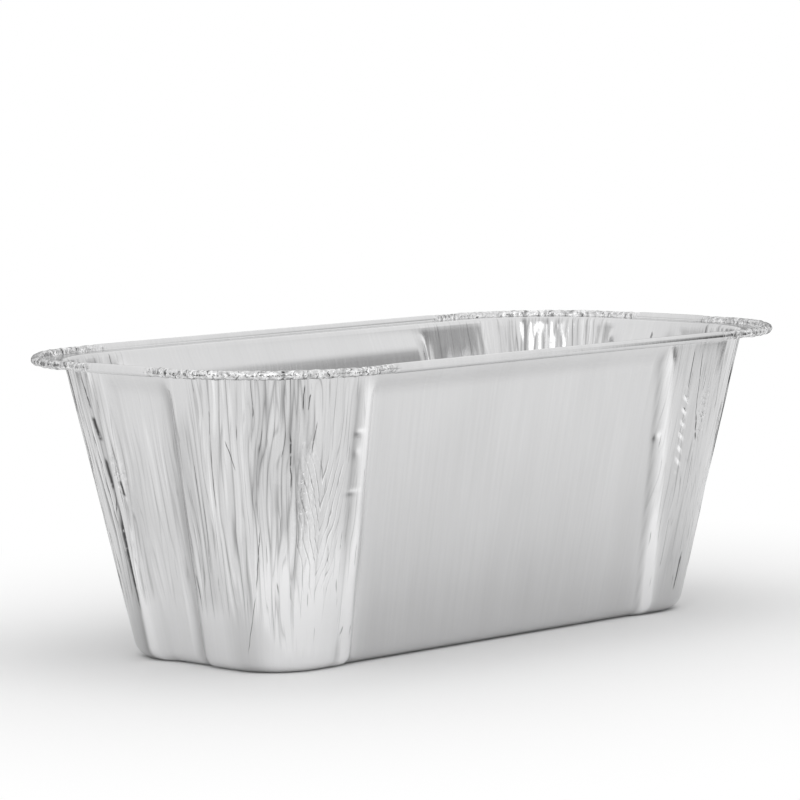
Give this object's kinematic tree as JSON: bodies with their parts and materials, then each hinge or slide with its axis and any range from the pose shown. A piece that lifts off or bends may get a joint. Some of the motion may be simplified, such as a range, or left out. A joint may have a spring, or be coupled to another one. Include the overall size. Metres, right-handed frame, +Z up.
{
  "type": "foil grease cup",
  "caption": "Deep oblong aluminium foil cup that catches grease drips, with pleated corners, pressed-in side panels and a flange with a rolled edge.",
  "frame": {"origin": "middle of the foot, on the surface that the cup stands on", "axes": "+Z up out of the cup's mouth, X along the cup's length, Y across it"},
  "size_m": [0.185, 0.094, 0.0676],
  "materials": {
    "foil": "bright rolled foil, soft vertical creases"
  },
  "bodies": {
    "root": {"cup": "foil"}
  },
  "joints": []
}
